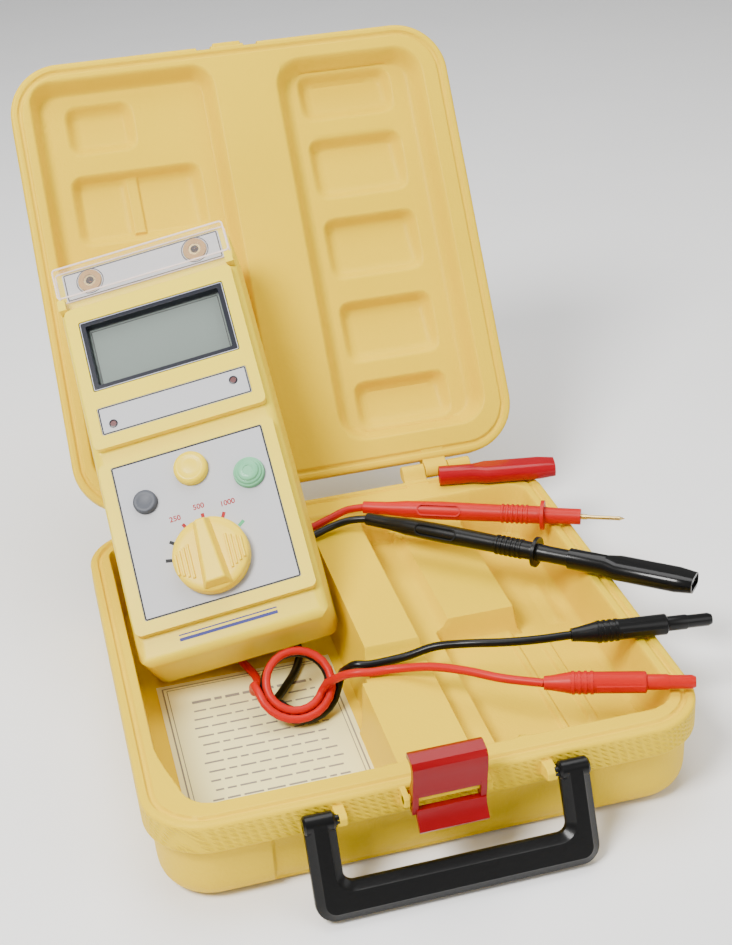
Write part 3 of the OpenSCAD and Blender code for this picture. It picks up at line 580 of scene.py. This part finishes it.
def arc(c0, c1, r0, r1, a0, a1, n, mat):
    """Ring positions along an ellipse arc: centre (inset, z), radii and angles in degrees."""
    out = []
    for i in range(1, n + 1):
        a = math.radians(a0 + (a1 - a0) * i / n)
        out.append((c0 + r0 * math.cos(a), c1 + r1 * math.sin(a), mat))
    return out


def base_height(X, Y):
    """Heights of the tub's inside: the tray, the lead bay with its ramp and ribs, and the rim's groove."""
    Z = np.zeros_like(X)
    drawn = X - 8.8 * (1 - step((Y - 8) / 52)) * step((80 - X) / 50)
    for box, r in (((10.4, 14, 93.6, 106), 10), ((10.4, 80, 99.1, 138), 8)):
        Z = np.minimum(Z, -TRAY * step((0.7 - sdf(drawn, Y, box, r)) / 3.0))
    for box, depth, r, wide in (
            ((147, 14, 76, 80), BAY, 14, 5.0), ((147, 50, 76, 72), BAY, 5, 4.5),
            ((186, 110, 37, 102), BAY, 12, 4.5), ((186, 100, 37, 40), BAY, 10, 4.5),
            ((147, 108, 76, 104), 12, 10, 3.5), ((135, 14, 20, 192), 17, 6, 3.0),
            ((96, 14, 48, 84), 8, 6, 5.0), ((106, 90, 38, 124), 2, 4, 3.0)):
        s = -sdf(X, Y, box, r)
        Z = np.minimum(Z, -depth * step((s + 0.7) / wide))
    ramp = np.where((X > 143) & (X < 190), -BAY + (Y - 116) * 15 / 17, -99)
    inside = step((X - 154.5) / 3) * step((188 - X) / 4) * step((Y - 114) / 3) * step((138 - Y) / 2)
    Z = np.where(inside > 0, np.maximum(Z, -BAY + (np.minimum(ramp, -12) + BAY) * inside), Z)
    bay = X > 147
    for x0, x1, y0, y1 in ((183.4, 185.6, 40, 130), (196.5, 200, 46, 110), (209, 212, 120, 158)):
        rib = step((X - x0 + 1) / 1.4) * step((x1 + 1 - X) / 1.4) * step((Y - y0) / 4) * step((y1 - Y) / 4)
        Z = np.where(bay & (Z < 2 - BAY), np.maximum(Z, -BAY + 1.8 * rib), Z)
    out = -sdf(X, Y, (0, 0, W, D), CORNER)
    groove = step((out - 3.4) / 0.9) * step((6.4 - out) / 0.9)
    return np.where(Z > -0.5, Z - 1.4 * groove, Z)


def front_panel(p, t, z):
    """The recessed front panel under the band, with an upright step at its left end."""
    if z < -15.5 and z > -40 and p[1] < 25:
        k = step((p[0] - 47) / 1.6) * step((182 - p[0]) / 6)
        p[1] += 1.6 * float(k) * float(step((-15.5 - z) / 2))
    return p


# (inset, height, material) from the rim down: rounded lip, textured band, and the step under it.
rim_rings = [(1.7, 0, 0)] + arc(1.7, -1.7, 1.7, 1.7, 90, 180, 4, 0) + [(0, -3.0, 1), (0, -12.6, 1)] \
    + arc(1.4, -12.6, 1.4, 1.4, 180, 270, 3, 0) + [(3.4, -14.1, 2)] \
    + arc(4.6, -15.2, 1.1, 1.1, 90, 180, 2, 2)
base_rings = rim_rings + [(3.6, -17.5, 2), (3.7, -24, 2), (3.8, -31.5, 2)] \
    + arc(14.5, -32, 10.6, 11, 180, 270, 8, 2)
case_half("case_base_body", CASE, D,
          (5, W - 5, 10.2, 15, 19, 48, 104, 109.5, 135, 144, 147, 182, 186, 198, 223),
          (5, D - 5, 14, 32, 60, 93, 98, 108, 118, 136, 206, 212, 218), base_height, base_rings,
          [case_mat, band_mat, front_mat], "base", "case_base", front_panel)


def pocket(X, Y, y, h, mould, bounds):
    """A pocket in a well's floor, deeper towards its far edge, with soft sides."""
    f = np.clip((Y - y) / h, 0, 1)
    depth = WELL + (3.4 + 4.6 * f) * step((-sdf(X, Y, mould, 7) + 0.5) / 6.5)
    return -depth * (-sdf(X, Y, bounds, 7) > 0)


def lid_height(X, Y):
    """Heights of the lid's inside: two wells, their pockets, and the rim's groove."""
    Z = np.zeros_like(X)
    Z = np.minimum(Z, -WELL * step((-sdf(X, Y, (10.4, 16, 96, 209), 12) + 0.8) / 6.5))
    Z = np.minimum(Z, -WELL * step((-sdf(X, Y, (139, 15.5, 80, 206.5), 15) + 0.8) / 8))
    for y, h in ((22, 25), (57.5, 33), (103, 33), (147, 33), (190, 25)):
        Z = np.minimum(Z, pocket(X, Y, y, h, (151.5, y - 0.5, 52, h + 1), (150, y - 2, 56, h + 4)))
    for x, y, w, h in ((27, 187, 36, 27), (24, 139, 69, 38)):
        Z = np.minimum(Z, pocket(X, Y, y, h, (x, y, w, h), (x - 2, y - 2, w + 4, h + 4)))
    rib = step((X - 52) / 1.5) * step((60 - X) / 1.5) * step((Y - 140) / 3) * step((174 - Y) / 3)
    Z = np.where(Z < -14, np.maximum(Z, Z + 2.2 * rib), Z)
    out = -sdf(X, Y, (0, 0, W, LID_L), CORNER)
    groove = step((out - 3.2) / 0.9) * step((6.0 - out) / 0.9)
    return np.where(Z > -0.5, Z - 1.3 * groove, Z)


def latch_slots(p, t, z):
    """Slots beside the tab on the lid's free edge, where the latch's cheeks pass."""
    if p[1] > 226 and z > -15:
        for x0, x1 in ((100.6, 107.8), (125.2, 132.4)):
            if x0 < p[0] < x1:
                p[1] -= 2.4
    return p


lid_rings = rim_rings + [(3.7, -18, 2)] + arc(12.6, -17.6, 8.8, 8.4, 180, 270, 7, 2)
case_half("case_lid_body", LID, LID_L,
          (5, W - 5, 10.4, 24, 27, 56, 63, 93, 100.6, 106.4, 107.8, 125.2, 132.4, 139, 152, 204, 219),
          (5, LID_L - 5, 16, 22, 47, 57.5, 90.5, 103, 136, 139, 147, 177, 187, 190, 215, 222),
          lid_height, lid_rings, [lid_mat, band_mat, lid_mat], "lid", "case_lid", latch_slots)


def prism_x(name, matrix, x, length, poly, mat, body, round_):
    """A (y, z) outline run along X for the length given."""
    verts, faces = two_rings([(x, a, b) for a, b in poly], [(x + length, a, b) for a, b in poly])
    ob = make(name, verts, faces, mat, matrix)
    fix_normals(ob)
    bevel(ob, round_)
    return finish_piece(ob, body)


# Two hinges: each has a knuckle of the lid between two of the tub's.
for hx in (29, 167):
    for i, x in enumerate((hx, hx + 25)):
        prism_x(f"base_knuckle_{hx}_{i}", CASE, x, 12, [
            (236.2, -2.4), (226.6, -13), (226.6, -0.6), (232.2, -0.4), (234.4, 2.0), (235.2, 3.7),
            (236.8, 4.9), (238.2, 5.3), (239.8, 4.9), (241.2, 3.9), (242.1, 2.2), (242.2, 0.4), (241.2, -1.4),
            (239.6, -2.5), (238.2, -2.7)], case_mat, "base", 0.5)
    prism_x(f"lid_knuckle_{hx}", LID, hx + 12.4, 12.2, [
        (-6.6, -4.9), (6, -13), (6, -0.7), (0.4, -0.7), (-2.0, 0.6), (-3.6, 2.3), (-5.2, 2.9), (-7.0, 2.6),
        (-8.6, 1.5), (-9.5, -0.2), (-9.5, -2.2), (-8.6, -3.8)], lid_mat, "lid", 0.5)
bar_x, bar_l = W / 2 - 18, 36
for i, x in enumerate((bar_x, bar_x + bar_l - 2.5)):
    prism_x(f"latch_ear_{i}", CASE, x, 2.5,
            [(-7.4, -5.2), (-7.4, -1.6), (-6.4, -0.8), (2, -0.8), (2, -11)], case_mat, "base", 0.35)
along_x = Matrix.Rotation(math.pi / 2, 4, "Y")
finish_piece(revolve("latch_bar", CASE @ Matrix.Translation(Vector((bar_x, -5, -3)) * MM) @ along_x,
                     [(0, 0), (1.8, 0), (1.8, bar_l), (0, bar_l)], case_mat, 32), "base")
handle_x = (W - HANDLE_W) / 2
for i, x in enumerate((handle_x + 13, handle_x + HANDLE_W - 13 - 4.6)):
    prism_x(f"handle_boss_{i}", CASE, x, 4.6,
            [(-7.6, -7.6), (-7.6, -4.0), (-6.2, -2.8), (2, -3.0), (2, -10.5)], case_mat, "base", 0.6)
finish_piece(slab("lid_tab", LID, W / 2 - 7.4, LID_L - 3, 14.8, 4.2, -10, -0.2, 0.8, lid_mat, 0.6),
             "lid")

# ------------------------------------------------------------------ latch, handle, tester housing
soften("latch", 0.45)
grip = CASE @ Matrix.Translation(Vector((0, -5.5, -5)) * MM) @ Matrix.Rotation(math.radians(-23), 4, "X")


def grip_side(x0, x1, low, r, d, sign):
    """One side of the handle's U in its own plane, moved by d towards the other side."""
    a, b, c, rr = x0 + sign * d, x1 - sign * d, low + sign * d, max(r - sign * d, 0.4)
    turn = np.linspace(0, math.pi / 2, 9)
    return [(a, 0.0)] + [(a + rr - rr * math.cos(t), c + rr - rr * math.sin(t)) for t in turn] \
        + [(b - rr + rr * math.sin(t), c + rr - rr * math.cos(t)) for t in turn] + [(b, 0.0)]


# Each layer across the handle's thickness is (height, how far its sides draw in).
layers = [(-4, 3.6), (-3.4, 3.0), (-1.5, 0.3), (-0.9, 0), (0.9, 0), (1.5, 0.3), (3.4, 3.0), (4, 3.6)]
verts, faces = [], []
for v, d in layers:
    outer = grip_side(handle_x, handle_x + HANDLE_W, -39.4, 8, d, 1)
    inner = grip_side(handle_x + HANDLE_ARM, handle_x + HANDLE_W - HANDLE_ARM, -24.4, 4, d, -1)
    verts += [(x, v, z) for x, z in outer + inner]
n = len(outer)
for k in range(len(layers) - 1):
    for side in (0, n):
        for j in range(n - 1):
            a, b = 2 * n * k + side + j, 2 * n * (k + 1) + side + j
            faces.append((a, a + 1, b + 1, b))
    for j in (0, n - 1):
        a, b = 2 * n * k + j, 2 * n * (k + 1) + j
        faces.append((a, b, b + n, a + n))
for k in (0, len(layers) - 1):
    a = 2 * n * k
    faces += [(a + j, a + j + 1, a + n + j + 1, a + n + j) for j in range(n - 1)]
handle = make("handle_grip", verts, faces, handle_mat, grip, smooth=28)
fix_normals(handle)
finish_piece(handle, "handle", ["carry_handle"])
eye = [(0, 0), (3.1, 0), (4, 0.9), (4, HANDLE_ARM - 0.9), (3.1, HANDLE_ARM), (0, HANDLE_ARM)]
stud = [(0, 0), (1.9, 0), (2.2, 0.3), (2.2, 2.7), (1.9, 3), (0, 3)]
for i, (x, stud_z) in enumerate(((handle_x, HANDLE_ARM - 1), (handle_x + HANDLE_W - HANDLE_ARM, -2))):
    arm = grip @ Matrix.Translation(Vector((x, 0, 0)) * MM) @ along_x
    finish_piece(revolve(f"handle_eye_{i}", arm, eye, handle_mat, 40), "handle")
    finish_piece(revolve(f"handle_stud_{i}", arm @ Matrix.Translation(Vector((0, 0, stud_z)) * MM), stud,
                         handle_mat, 32), "handle")
soften("front_cover", 0.5, 3)
soften("rear_cover", 0.4, 2)
soften("terminal_cover", 0.3, 2)
# Strips round the clear terminal cover's upper and lower edges: painted highlight for the bright edges that
# the clear plastic shows.
for k, (z0, z1, wide) in enumerate(((-1.15, -0.62, 0.8), (-6.75, -6.3, 0.7))):
    finish_piece(frame_strip(f"cover_glint_strip_{k}", TESTER, -43.9, 190.5, 87.8, 17.2, z0, z1, 2, wide, cover_glint_mat),
                 "terminal_cover")
soften("lcd_bezel", 0.25, 2)
for n in ("line_socket", "earth_socket", "battery_door"):
    soften(n, 0.25)
for c in ("black", "red"):
    soften(c + "_probe", 0.35)
    soften(c + "_clip_boot", 0.3, 2)
    soften(c + "_clip_jaws", 0.2)
    for side in (-1, 1):
        face = PROBE[c] @ Matrix.Rotation(math.radians(-122 + 90 * side), 4, "Z") \
            @ Matrix.Rotation(math.pi / 2, 4, "X")
        panel = frame_strip(f"{c}_probe_panel_{side}", face, -2.9, 28, 5.8, 22, 3.3, 4.8, 2.8, 0.6,
                            red_mat if c == "red" else black_mat)
        finish_piece(panel, "leads")

# ------------------------------------------------------------------ controls
def at(x, y, z=0.0):
    """A point on the tester's face."""
    return TESTER @ Matrix.Translation(Vector((x, y, z)) * MM)


knob = revolve("knob_disc", at(0, KNOB_Y), [
    (3.1, 0.4), (17.3, 0.4), (17.8, 0.9), (17.7, 5.6), (17.2, 6.6), (16.2, 7.1), (13.5, 7.2), (3.1, 7.2),
    (3.1, 0.4)], knob_mat, 96)
finish_piece(knob, "knob", ["range_knob"])


def frustum(name, matrix, low, high, z0, z1, mat, round_):
    """A solid from the outline low at height z0 to the outline high at z1."""
    verts, faces = two_rings([(x, y, z0) for x, y in low], [(x, y, z1) for x, y in high])
    ob = make(name, verts, faces, mat, matrix)
    fix_normals(ob)
    return bevel(ob, round_, 3, 25)


ridge = frustum("knob_ridge", at(0, KNOB_Y), [(-4.6, 16.6), (3.6, 16.8), (7.2, -16.0), (-6.6, -16.2)],
                [(-2.6, 15.2), (1.8, 15.4), (4.8, -14.4), (-4.2, -14.8)], 6.9, 12.6, knob_mat, 0.8)
finish_piece(ridge, "knob")
for side in (-1, 1):
    for k in range(4):
        x = side * (8.6 + 2.15 * k) - (0.6 if side < 0 else 0)
        h = 8.5 - 1.1 * k
        rib = frustum(f"knob_rib_{k}_{side + 1}", at(x, KNOB_Y - 1.5),
                      [(-0.75, -h), (0.75, -h), (0.75, h), (-0.75, h)],
                      [(-0.45, -h + .4), (0.45, -h + .4), (0.45, h - .4), (-0.45, h - .4)],
                      7.0, 8.2, knob_mat, 0.22)
        finish_piece(rib, "knob")

dome = revolve("test_button_dome", at(0, 84.9), [
    (0, -5.8), (9.2, -5.8), (9.2, -3.4), (8, -3.4), (8, 2.4), (7.75, 3.2), (7.1, 3.9), (5.9, 4.3),
    (5.2, 4.05), (3, 4.25), (0, 4.35)], test_mat, 72, 50)
finish_piece(dome, "test_button", ["test_button"])
mint = revolve("light_button_cap", at(25.7, 74.9), [
    (0, -5.8), (8.5, -5.8), (8.5, -3.4), (7.3, -3.4), (7.3, 1.6), (7.05, 2.1), (6.4, 2.3), (6.2, 3.1),
    (5.9, 3.4), (5.1, 3.5), (4.9, 4.3), (4.5, 4.6), (2.4, 4.65), (2.2, 4.4), (0, 4.4)], mint_mat, 72, 40)
finish_piece(mint, "light_button", ["light_button"])
hold = revolve("hold_button_cap", at(-24.2, 75.3), [
    (0, -5.8), (6.8, -5.8), (6.8, -3.4), (5.6, -3.4), (5.6, 2.1), (5.3, 2.7), (4.7, 3.0), (3.5, 2.7),
    (0, 2.3)], grey_mat, 64, 50)
finish_piece(hold, "hold_button", ["hold_button"])

# ------------------------------------------------------------------ printing on the tester
def printed(ob):
    return finish_piece(ob, "tester")


def line_box(name, x, y, w, d, z0, z1, r, t, mat):
    printed(frame_strip(name, TESTER, x, y, w, d, z0, z1, r, t, mat))


line_box("control_border", -36.6, 20.2, 73.2, 76.4, PRINT, PRINT + INK_T, 1.0, 0.7, ink_mat)
line_box("title_border", -36.5, 114.1, 73.0, 13.8, PRINT, PRINT + INK_T, 0.9, 0.6, ink_mat)
line_box("terminal_border", -39.6, 191.2, 79.2, 14.8, DECK_PRINT, DECK_PRINT + INK_T, 0.8, 0.6, ink_mat)
line_box("display_border", -35.9, 137.5, 71.8, 37.0, -0.2, -0.12, 0.8, 0.35, plate_mat)
line_box("display_inner", -32.2, 141.0, 64.4, 30.0, -5.3, -5.24, 0.8, 0.5, ink_mat)
ticks = ((78, ink_mat), (54, ink_mat), (27, red_ink), (0, red_ink), (-27, red_ink), (-54, green_ink))
for k, (ang, m) in enumerate(ticks):
    turn = at(0, KNOB_Y) @ Matrix.Rotation(math.radians(ang), 4, "Z")
    printed(slab(f"dial_tick_{k}", turn, -0.8, 18.6, 1.6, 3.3, PRINT, PRINT + INK_T, 0.2, m))
for word, ang, rad in (("250", 29, 26.3), ("500", 2, 25.6), ("1000", -28, 26.6)):
    cu = bpy.data.curves.new("dial_" + word, "FONT")
    cu.body = word
    cu.size = 3.6 * MM
    cu.extrude = 0.02 * MM
    cu.offset = 0.07 * MM
    cu.align_x = "CENTER"
    cu.align_y = "CENTER"
    cu.materials.append(red_ink)
    ob = bpy.data.objects.new("dial_" + word, cu)
    bpy.context.scene.collection.objects.link(ob)
    a = math.radians(ang)
    ob.matrix_world = at(-rad * math.sin(a), KNOB_Y + rad * math.cos(a), PRINT + 0.03)
    printed(ob)
SOCKET_X, SOCKET_Y, SOCKET_RING = 27, 199.2, 6.9
for k, x in enumerate((-SOCKET_X, SOCKET_X)):
    line_box(f"socket_ring_{k}", x - SOCKET_RING, SOCKET_Y - SOCKET_RING, 2 * SOCKET_RING, 2 * SOCKET_RING,
             DECK_PRINT, DECK_PRINT + INK_T, SOCKET_RING - 0.01, 0.45, ink_mat)
for k, (x, y) in enumerate(((-30.5, 118.5), (29.5, 122.5))):
    bezel = [(1.5, PRINT), (2.1, PRINT), (2.05, 0.22), (1.5, 0.3), (1.5, PRINT)]
    printed(revolve(f"lamp_bezel_{k}", at(x, y), bezel, bezel_mat, 32))
for k, (y, h) in enumerate(((7.6, 1.5), (10.2, 0.6))):
    printed(slab(f"chin_line_{k}", TESTER, -24, y, 46, h, -4.0, -3.95, 0.25, trim_mat))

# ------------------------------------------------------------------ card in the tray
rng = np.random.default_rng(4)
verts, faces = [], []


def dash(x, y, w, h):
    """One dash of a line of print on the card."""
    n = len(verts)
    for z in (CARD_Z, CARD_Z + INK_T):
        verts.extend([(x, y, z), (x + w, y, z), (x + w, y + h, z), (x, y + h, z)])
    faces.extend([(n + 4, n + 5, n + 6, n + 7), (n, n + 1, n + 5, n + 4), (n + 1, n + 2, n + 6, n + 5),
                  (n + 2, n + 3, n + 7, n + 6), (n + 3, n, n + 4, n + 7)])


for row in range(15):
    y = 128 - row * 6.4
    x, end = 31 + rng.uniform(0, 3), 92 - rng.uniform(0, 22 if row % 5 == 4 else 5)
    while x < end:
        w = rng.uniform(3, 9)
        dash(x, y, min(w, end - x + 1), 1.1 if row else 2.0)
        x += w + 1.6
finish_piece(make("card_lines", verts, faces, card_ink, CASE), "base")
for k, (inset, wide) in enumerate(((2.2, 0.7), (4.2, 0.4))):
    border = frame_strip(f"card_border_{k}", CASE, CARD_X + inset, CARD_Y + inset, CARD_W - 2 * inset,
                         CARD_L - 2 * inset, CARD_Z, CARD_Z + INK_T, 0.6, wide, card_ink)
    finish_piece(border, "base")

# ------------------------------------------------------------------ floor and light
FAR = 9000
floor = make("floor", [(x, y, -BASE_H) for x, y in ((-FAR, -FAR), (FAR, -FAR), (FAR, FAR), (-FAR, FAR))],
             [(0, 1, 2, 3)], floor_mat, CASE, smooth=0)


def area(name, loc, target, size, power, colour=(1, 1, 1)):
    """A round area light of the width given, aimed at target."""
    data = bpy.data.lights.new(name, "AREA")
    data.shape = "DISK"
    data.size = size
    data.energy = power
    data.color = colour
    ob = bpy.data.objects.new(name, data)
    bpy.context.scene.collection.objects.link(ob)
    ob.location = loc
    ob.rotation_mode = "QUATERNION"
    ob.rotation_quaternion = (Vector(target) - Vector(loc)).to_track_quat("-Z", "Y")


area("key", (-0.75, -0.55, 1.25), (0, 0.02, 0.08), 0.55, 38, (1.0, 0.99, 0.97))
area("fill", (1.1, -0.9, 0.9), (0, 0, 0.08), 1.2, 10)
area("top", (0.1, 0.35, 1.5), (0, 0.05, 0.1), 1.2, 20)
world = bpy.data.worlds.new("studio")
bpy.context.scene.world = world
world.use_nodes = True
world.node_tree.nodes["Background"].inputs["Color"].default_value = (1, 1, 1, 1)
world.node_tree.nodes["Background"].inputs["Strength"].default_value = 0.38
